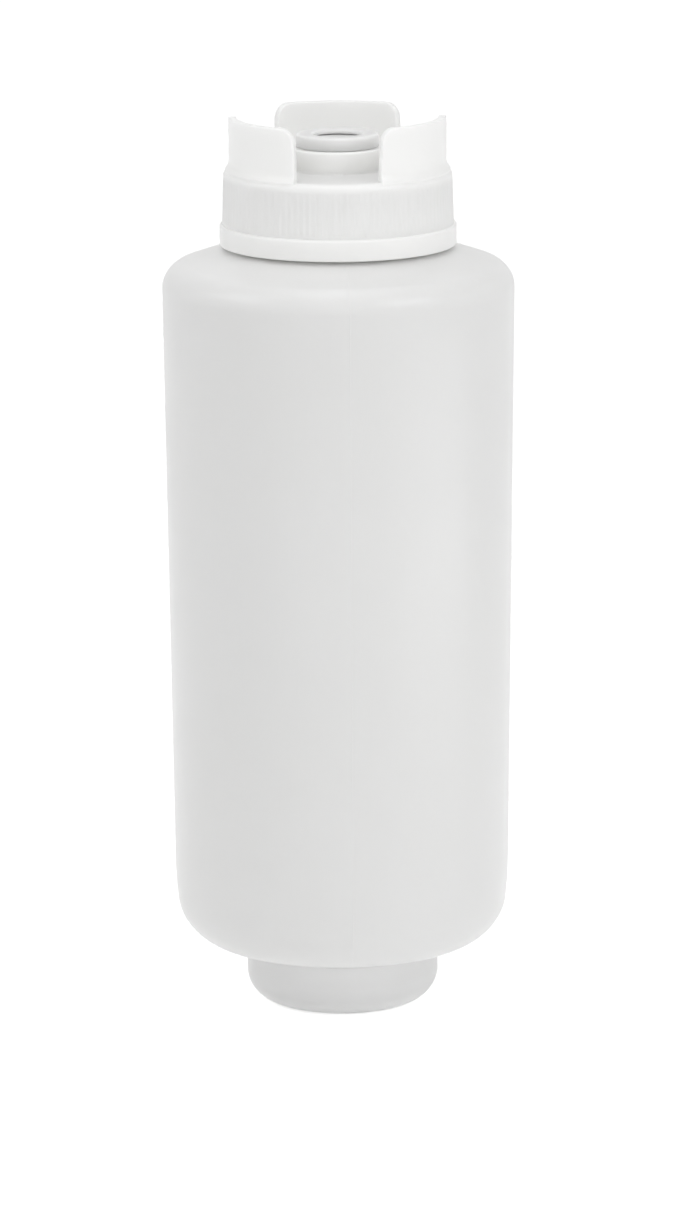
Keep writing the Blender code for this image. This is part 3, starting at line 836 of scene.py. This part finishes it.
@dataclass(frozen=True)
class DispensingCap:
    """The ribbed screw cap with its deck, its stepped nozzle and its crown of three tabs."""

    stack: Stack
    threads: ThreadFit
    neck_radius: float = 0.0251
    skirt_depth: float = 0.01725
    skirt_wall: float = 0.00235
    skirt_lip_round: float = 0.0003
    draft: float = 0.0003
    thread_depth: float = 0.0062
    thread_turns: float = 1.5
    deck: float = 0.0018
    deck_round: float = 0.0017
    bead_height: float = 0.0053
    bead_round: float = 0.0007
    bead_foot_round: float = 0.0003
    bead_step: float = 0.0001
    inner_round: float = 0.0005
    rib_count: int = 114
    rib_depth: float = 0.00013
    rib_foot_gap: float = 0.0006
    rib_top_gap: float = 0.0003
    rib_run_out: float = 0.0005
    run_out_draft: float = 0.05
    groove_shares: tuple[float, ...] = (0.0, 0.62, 1.0, 1.0, 1.0, 0.62)
    bore_radius: float = 0.0072
    spigot_radius: float = 0.0089
    spigot_height: float = 0.0008
    spigot_round: float = 0.0003
    spigot_root_round: float = 0.0002
    chimney_ledge: float = 0.0016
    chimney_height: float = 0.0055
    chimney_round: float = 0.0004
    chimney_root_round: float = 0.0006
    tab_count: int = 3
    tab_first_angle: float = 90.0
    tab_inset: float = 0.00145
    tab_thickness: float = 0.0021
    tab_span: float = 74.0
    tab_corner: float = 0.0038
    tab_round: float = 0.0004
    tab_draft: float = 1.2
    tab_foot_proud: float = 0.0010
    tab_foot_height: float = 0.0024
    tab_foot_steps: int = 6
    tab_foot_inner_divisor: float = 3.0
    tab_corner_segments: int = 10
    tab_round_segments: int = 4
    tab_steps: int = 40
    gasket_width: float = 0.0028
    gasket_round: float = 0.0002
    gasket_steps: int = 144

    @property
    def steps(self) -> int:
        """The number of faces round the cap, a whole number for each rib."""
        return self.rib_count * len(self.groove_shares)

    @property
    def skirt_inner(self) -> float:
        """The radius inside the skirt."""
        return self.neck_radius + self.threads.wall_gap

    @property
    def skirt_radius(self) -> float:
        """The radius outside the skirt, at its foot."""
        return self.skirt_inner + self.skirt_wall

    @property
    def ceiling(self) -> float:
        """The height of the deck's underside."""
        return self.stack.skirt_foot + self.skirt_depth

    @property
    def deck_top(self) -> float:
        """The height of the deck's top."""
        return self.ceiling + self.deck

    @property
    def rib_heights(self) -> tuple[float, float]:
        """Where the ribs start and end."""
        foot = self.stack.skirt_foot + self.bead_height + self.rib_foot_gap
        return foot, self.deck_top - self.deck_round - self.rib_top_gap

    def section(self) -> list[Corner]:
        """The cap's section.

        Returns:
            Its corners, up the outside, over the deck and the nozzle, and down the inside.
        """
        foot = self.stack.skirt_foot
        top = self.skirt_radius - self.draft
        rib_foot, rib_top = self.rib_heights
        chimney = self.stack.retainer_radius + self.chimney_ledge
        chimney_top = self.deck_top + self.chimney_height
        spigot_top = chimney_top + self.spigot_height
        return [
            Corner(self.skirt_inner, foot, self.skirt_lip_round, 2),
            Corner(self.stack.bead_radius, foot, self.bead_foot_round, 4),
            Corner(self.stack.bead_radius, foot + self.bead_height, self.bead_round, 5),
            Corner(self.skirt_radius, foot + self.bead_height + self.bead_step),
            Corner(self.skirt_radius, rib_foot),
            Corner(self.skirt_radius - self.draft * self.run_out_draft, rib_foot + self.rib_run_out),
            Corner(top + self.draft * self.run_out_draft, rib_top - self.rib_run_out),
            Corner(top, rib_top),
            Corner(top, self.deck_top, self.deck_round, 8),
            Corner(chimney, self.deck_top, self.chimney_root_round, 4),
            Corner(chimney, chimney_top, self.chimney_round, 5),
            Corner(self.spigot_radius, chimney_top, self.spigot_root_round, 2),
            Corner(self.spigot_radius, spigot_top, self.spigot_round, 3),
            Corner(self.bore_radius, spigot_top, self.spigot_round, 3),
            Corner(self.bore_radius, self.ceiling, self.spigot_round, 3),
            Corner(self.skirt_inner, self.ceiling, self.inner_round, 3),
        ]

    def cut_grooves(self, bm: bmesh.types.BMesh) -> None:
        """Draws the skirt in between its ribs, and lets each groove run out at both ends.

        Args:
            bm: the turned cap, with a whole number of faces to each rib.
        """
        foot, top = self.rib_heights
        step = math.tau / self.steps
        for vert in bm.verts:
            radius = vert.co.xy.length
            outside = radius > self.skirt_inner + self.skirt_wall / 2
            if outside and foot < vert.co.z - MERGE_DISTANCE and vert.co.z < top - MERGE_DISTANCE:
                place = round(math.atan2(vert.co.y, vert.co.x) / step) % len(self.groove_shares)
                vert.co.xy *= (radius - self.rib_depth * self.groove_shares[place]) / radius

    def tab(self, angle: float) -> bmesh.types.BMesh:
        """One standing tab: a rounded plate with a flared foot, bent round the cap.

        Args:
            angle: where its middle is, in radians.

        Returns:
            The closed tab, which reaches into the deck.
        """
        radius = self.skirt_radius - self.draft - self.tab_inset
        root = self.deck_top - self.deck / 2
        height = self.stack.tab_top - root
        span = radius * math.radians(self.tab_span)
        bm = bmesh.new()
        bmesh.ops.create_cube(bm, size=1.0)
        bmesh.ops.scale(bm, verts=bm.verts, vec=(span, self.tab_thickness, height))
        bmesh.ops.translate(bm, verts=bm.verts, vec=(0.0, -self.tab_thickness / 2, root + height / 2))
        narrowing = math.radians(self.tab_draft) * radius
        for vert in bm.verts:
            if vert.co.z > self.deck_top:
                vert.co.x -= math.copysign(narrowing, vert.co.x)
        top_corners = [
            edge for edge in bm.edges
            if all(vert.co.z > self.deck_top for vert in edge.verts)
            and edge.verts[0].co.x * edge.verts[1].co.x > 0
        ]
        bmesh.ops.bevel(
            bm, geom=top_corners, offset=self.tab_corner, offset_type="OFFSET",
            segments=self.tab_corner_segments, profile=0.5, affect="EDGES", clamp_overlap=True, material=-1,
        )
        rim = [
            edge for edge in bm.edges
            if abs(edge.verts[0].co.y - edge.verts[1].co.y) < MERGE_DISTANCE
            and max(vert.co.z for vert in edge.verts) > self.deck_top
        ]
        bmesh.ops.bevel(
            bm, geom=rim, offset=self.tab_round, offset_type="OFFSET",
            segments=self.tab_round_segments, profile=0.5, affect="EDGES", clamp_overlap=True, material=-1,
        )
        for i in range(1, self.tab_steps):
            score(bm, Vector((span * (i / self.tab_steps - 0.5), 0.0, 0.0)), Vector((1.0, 0.0, 0.0)))
        for i in range(self.tab_foot_steps + 1):
            level = self.deck_top + self.tab_foot_height * i / self.tab_foot_steps
            score(bm, Vector((0.0, 0.0, level)), Vector(UP))
        for vert in bm.verts:
            share = max(0.0, 1.0 - max(0.0, vert.co.z - self.deck_top) / self.tab_foot_height) ** 2
            flare = self.tab_foot_proud * share
            if vert.co.y <= -self.tab_thickness / 2:
                flare /= -self.tab_foot_inner_divisor
            bend = vert.co.x / radius
            reach = radius + vert.co.y + flare
            vert.co.xy = reach * math.sin(bend), reach * math.cos(bend)
        bmesh.ops.rotate(bm, verts=bm.verts, cent=MIDDLE, matrix=Matrix.Rotation(angle - math.pi / 2, 3, "Z"))
        return tidied(bm)

    def gasket(self) -> Piece:
        """Turns the flat ring under the deck.

        Returns:
            The gasket.
        """
        low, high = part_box("dispensing_cap_gasket")
        inner = self.neck_radius - self.gasket_width
        places = ((inner, low.z), (high.x, low.z), (high.x, high.z), (inner, high.z))
        bm = Turning.ring([Corner(*place, self.gasket_round, 2) for place in places], self.gasket_steps)
        return Piece("cap_gasket_ring", bm, SEAL_FOAM, "dispensing_seal", "dispensing_cap_gasket")

    def pieces(self) -> list[Piece]:
        """Builds the cap.

        Returns:
            The cap and its gasket.
        """
        bm = Turning.ring(self.section(), self.steps)
        self.cut_grooves(bm)
        ridge = self.threads.in_cap(
            self.neck_radius, self.stack.skirt_foot + self.thread_depth, self.thread_turns,
            self.stack.dispensing_rim - self.threads.offset,
        )
        degrees = [self.tab_first_angle + 360.0 * i / self.tab_count for i in range(self.tab_count)]
        shape = united("cap", bm, [ridge, *(self.tab(math.radians(angle)) for angle in degrees)])
        cap = Piece("dispensing_cap_moulding", shape, CAP_PLASTIC, "dispensing_cap", "dispensing_cap")
        return [cap, self.gasket()]


@dataclass(frozen=True)
class NozzleValve:
    """The slit silicone valve, and the ring that holds it on the nozzle."""

    stack: Stack
    steps: int = 120
    opening_radius: float = 0.0061
    ring_inner: float = 0.0092
    ring_plate: float = 0.0011
    ring_round: float = 0.0006
    ring_foot_round: float = 0.0002
    ring_lip_round: float = 0.00015
    sleeve_inner: float = 0.0049
    sleeve_wall: float = 0.0006
    flange_thickness: float = 0.0009
    rubber_round: float = 0.00015
    flap_count: int = 4
    flap_radius: float = 0.0047
    flap_thickness: float = 0.0006
    flap_dish: float = 0.0007
    slit: float = 0.00014
    flap_steps: int = 18
    flap_rings: int = 9

    def ring(self) -> Piece:
        """Turns the ring that snaps over the nozzle.

        Returns:
            The ring.
        """
        top = self.stack.retainer_top
        plate = top - self.ring_plate
        bm = Turning.ring([
            Corner(self.ring_inner, self.stack.retainer_foot, self.ring_foot_round, 2),
            Corner(self.stack.retainer_radius, self.stack.retainer_foot, self.ring_foot_round, 2),
            Corner(self.stack.retainer_radius, top, self.ring_round, 6),
            Corner(self.opening_radius, top, self.ring_round, 6),
            Corner(self.opening_radius, plate, self.ring_lip_round, 2),
            Corner(self.ring_inner, plate),
        ], self.steps)
        return Piece("retaining_ring", bm, CAP_PLASTIC, "valve", "valve_retainer")

    def flange(self) -> Piece:
        """Turns the valve's clamped flange and the sleeve round its flaps.

        Returns:
            The flange with its sleeve.
        """
        seat = self.stack.valve_top - self.flange_thickness
        sleeve = self.sleeve_inner + self.sleeve_wall
        bm = Turning.ring([
            Corner(self.sleeve_inner, self.stack.valve_foot, self.rubber_round, 3),
            Corner(sleeve, self.stack.valve_foot, self.rubber_round, 3),
            Corner(sleeve, seat),
            Corner(self.stack.flange_radius, seat, self.rubber_round, 3),
            Corner(self.stack.flange_radius, self.stack.valve_top, self.rubber_round, 3),
            Corner(self.sleeve_inner, self.stack.valve_top, self.rubber_round, 3),
        ], self.steps)
        return Piece("valve_flange", bm, VALVE_RUBBER, "valve", "silicone_valve")

    def flap(self, number: int) -> Piece:
        """One of the flaps between the crossed slits, a quarter of a shallow dish.

        Args:
            number: which flap it is, from 1, counted from the X axis.

        Returns:
            The flap in its place.
        """
        quarter = math.tau / self.flap_count
        shift = self.slit / 2 / math.sin(quarter / 2)
        reach = self.flap_radius - shift
        shares = [i / self.flap_rings for i in range(self.flap_rings + 1)]
        upper = [Corner(reach * share, -self.flap_dish * (1 - share * share)) for share in shares]
        under = [Corner(corner.radius, corner.height - self.flap_thickness) for corner in reversed(upper)]
        bm = Turning.wedge(upper + under, quarter, self.flap_steps)
        turn = Matrix.Rotation(quarter * (number - 1), 4, "Z")
        place = turn @ Matrix.Translation((shift, 0.0, self.stack.valve_top))
        bmesh.ops.transform(bm, matrix=place, verts=bm.verts)
        return Piece(f"valve_flap_{number}", bm, VALVE_RUBBER, f"petal_{number}", f"valve_petal_{number}")

    def pieces(self) -> list[Piece]:
        """The ring, the flange and the flaps."""
        flaps = [self.flap(number) for number in range(1, self.flap_count + 1)]
        return [self.ring(), self.flange(), *flaps]


@dataclass(frozen=True)
class RefillCap:
    """The smooth rounded cap on which the bottle stands, and the disc that seals it."""

    stack: Stack
    threads: ThreadFit
    steps: int = 160
    neck_radius: float = 0.0212
    floor: float = 0.0019
    edge_radius: float = 0.0076
    land_rise: float = 0.0019
    land_width: float = 0.0050
    land_slope: float = 0.0012
    inner_fillet: float = 0.0020
    lip_round: float = 0.0004
    thread_depth: float = 0.0023
    thread_turns: float = 1.1
    gate_radius: float = 0.0016
    gate_depth: float = 0.0004
    gate_round: float = 0.0002
    land_round: float = 0.0003
    land_foot_round: float = 0.0004
    liner_round: float = 0.0002

    def section(self) -> list[Corner]:
        """The cap's section.

        Returns:
            Its corners, from the middle of its underside round the outside and over its floor.
        """
        inner = self.neck_radius + self.threads.wall_gap
        top = self.stack.refill_cap_top
        land = self.floor + self.land_rise
        land_inner = inner - self.land_width
        return [
            Corner(0.0, self.gate_depth),
            Corner(self.gate_radius, self.gate_depth, self.gate_round, 3),
            Corner(self.gate_radius + self.gate_depth, 0.0, self.gate_round, 3),
            Corner(self.stack.refill_cap_radius, 0.0, self.edge_radius, 18),
            Corner(self.stack.refill_cap_radius, top, self.lip_round, 4),
            Corner(inner, top, self.lip_round, 4),
            Corner(inner, land, self.inner_fillet, 6),
            Corner(land_inner, land, self.land_round, 2),
            Corner(land_inner - self.land_slope, self.floor, self.land_foot_round, 3),
            Corner(0.0, self.floor),
        ]

    def liner(self) -> Piece:
        """Turns the disc between the cap's floor and the neck's rim.

        Returns:
            The liner.
        """
        low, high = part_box("refill_cap_liner")
        bm = Turning.ring([
            Corner(0.0, low.z), Corner(high.x, low.z, self.liner_round, 2),
            Corner(high.x, high.z, self.liner_round, 2), Corner(0.0, high.z),
        ], self.steps, closed=False)
        return Piece("refill_liner_disc", bm, SEAL_FOAM, "refill_seal", "refill_cap_liner")

    def pieces(self) -> list[Piece]:
        """Builds the cap.

        Returns:
            The cap and its liner.
        """
        start = self.stack.refill_cap_top - self.thread_depth - self.thread_turns * Thread.lead
        ridge = self.threads.in_cap(
            self.neck_radius, start, self.thread_turns, self.stack.refill_rim + self.threads.offset,
        )
        shape = united("refill", Turning.ring(self.section(), self.steps, closed=False), [ridge])
        # The refill cap's colour carries painted light against the shade under the bottle.
        cap = Piece("refill_cap_moulding", shape, WHITER_PLASTIC_WITH_PAINTED_LIGHT, "refill_cap", "refill_cap")
        return [cap, self.liner()]


@dataclass(frozen=True)
class Lamp:
    """A soft box that faces the bottle's middle."""

    name: str
    azimuth: float
    elevation: float
    distance: float
    width: float
    height: float
    power: float


@dataclass(frozen=True)
class Studio:
    """The white floor, the lamps and the camera."""

    aim: tuple[float, float, float] = (0.0, 0.0, 0.1143)
    distance: float = 1.6218
    elevation: float = 12.12
    focal_pixels: float = 6374.4
    aim_pixel: tuple[float, float] = (340.15, 560.98)
    roll: float = -0.36
    sensor: float = 36.0
    clip: tuple[float, float] = (0.05, 50.0)
    floor_size: float = 8.0
    floor_colour: Colour = (0.95, 0.95, 0.95)
    floor_roughness: float = 0.9
    floor_glow: float = 0.60
    world_strength: float = 0.45
    lamps: tuple[Lamp, ...] = (
        Lamp("left_soft_box", -77.0, 38.0, 1.3, 0.5, 0.4, 2.2),
        Lamp("left_wall", -95.0, 10.0, 1.3, 0.6, 0.8, 0.6),
        Lamp("front_soft_box", 0.0, 40.0, 1.3, 1.2, 0.5, 1.2),
        Lamp("front_wall", 0.0, 8.0, 1.3, 1.4, 0.5, 1.2),
        Lamp("front_strip", -5.0, -11.0, 0.5, 0.7, 0.06, 0.17),
        Lamp("right_soft_box", 52.0, 38.0, 1.3, 0.6, 0.4, 2.7),
        Lamp("right_strip", 60.0, -11.0, 0.5, 0.5, 0.06, 0.28),
        Lamp("ceiling_panel", 0.0, 82.0, 1.4, 0.9, 0.9, 4.8),
    )

    def direction(self, azimuth: float, elevation: float) -> Vector:
        """A direction seen from the bottle.

        Args:
            azimuth: degrees round the bottle, 0 towards the camera and 90 to its right.
            elevation: degrees above the floor.

        Returns:
            The unit vector.
        """
        around, above = math.radians(azimuth), math.radians(elevation)
        return Vector((
            math.sin(around) * math.cos(above), -math.cos(around) * math.cos(above), math.sin(above),
        ))

    def camera(self) -> None:
        """Sets up the camera at the photograph's viewing angle."""
        data = bpy.data.cameras.new("camera")
        data.sensor_width = self.sensor
        data.lens = self.sensor * self.focal_pixels / FRAME_HEIGHT
        data.shift_x = (FRAME_WIDTH / 2 - self.aim_pixel[0]) / FRAME_HEIGHT
        data.shift_y = (self.aim_pixel[1] - FRAME_HEIGHT / 2) / FRAME_HEIGHT
        data.clip_start, data.clip_end = self.clip
        obj = bpy.data.objects.new("camera", data)
        bpy.context.scene.collection.objects.link(obj)
        back = self.direction(0.0, self.elevation)
        turn = back.to_track_quat("Z", "Y").to_matrix() @ Matrix.Rotation(math.radians(self.roll), 3, "Z")
        obj.matrix_world = Matrix.Translation(Vector(self.aim) + back * self.distance) @ turn.to_4x4()
        bpy.context.scene.camera = obj

    @staticmethod
    def seen(nodes: Nodes) -> Socket:
        """Finds what the camera sees, directly, mirrored or through something else.

        Args:
            nodes: the nodes to add to.

        Returns:
            A value that is 1 where it is seen.
        """
        path = nodes.add("ShaderNodeLightPath")
        seen = nodes.sum(path.outputs["Is Camera Ray"], path.outputs["Is Glossy Ray"])
        return nodes.sum(seen, path.outputs["Is Transmission Ray"])

    def floor(self) -> None:
        """Lays the pale floor, which keeps the bottle's shadow."""
        material = bpy.data.materials.new("pale_floor")
        nodes = Nodes(material)
        values: dict[str | int, Any] = {0: self.seen(nodes), 1: self.floor_glow}
        glow = nodes.add("ShaderNodeMath", values, operation="MULTIPLY").outputs["Value"]
        shader = nodes.add("ShaderNodeBsdfPrincipled", {
            "Base Color": (*self.floor_colour, 1.0), "Roughness": self.floor_roughness,
            "Specular IOR Level": 0.0,
            "Emission Color": (1.0, 1.0, 1.0, 1.0), "Emission Strength": glow,
        })
        nodes.output(shader.outputs["BSDF"])
        bm = bmesh.new()
        bmesh.ops.create_grid(bm, x_segments=1, y_segments=1, size=self.floor_size / 2)
        obj = to_object("pale_floor", bm)
        obj.data.materials.append(material)

    def light(self) -> None:
        """Hangs the lamps and sets the plain surrounding light."""
        world = bpy.data.worlds.new("studio")
        nodes = Nodes(world)
        values = {"Value": self.seen(nodes), "To Min": self.world_strength}
        strength = nodes.add("ShaderNodeMapRange", values).outputs["Result"]
        values = {"Color": (1.0, 1.0, 1.0, 1.0), "Strength": strength}
        background = nodes.add("ShaderNodeBackground", values).outputs["Background"]
        nodes.output(background, "ShaderNodeOutputWorld")
        bpy.context.scene.world = world
        for lamp in self.lamps:
            data = bpy.data.lights.new(lamp.name, "AREA")
            data.shape = "RECTANGLE"
            data.size, data.size_y = lamp.width, lamp.height
            data.energy = lamp.power
            obj = bpy.data.objects.new(lamp.name, data)
            obj.visible_camera = False
            bpy.context.scene.collection.objects.link(obj)
            towards = self.direction(lamp.azimuth, lamp.elevation)
            turn = towards.to_track_quat("Z", "Y").to_matrix().to_4x4()
            obj.matrix_world = Matrix.Translation(Vector(self.aim) + towards * lamp.distance) @ turn

    def build(self) -> None:
        """Makes the whole studio."""
        self.camera()
        self.floor()
        self.light()
        bpy.context.scene.view_settings.view_transform = "Standard"


def main() -> None:
    """Loads the frame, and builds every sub-assembly in order."""
    logging.basicConfig(level=logging.INFO, format="%(name)s: %(message)s")
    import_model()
    stack = Stack.measured()
    threads = ThreadFit()
    Studio().build()
    assemblies = (
        BottleMoulding(stack, threads), DispensingCap(stack, threads),
        NozzleValve(stack), RefillCap(stack, threads),
    )
    for assembly in assemblies:
        for piece in assembly.pieces():
            piece.show()


if __name__ == "__main__":
    main()
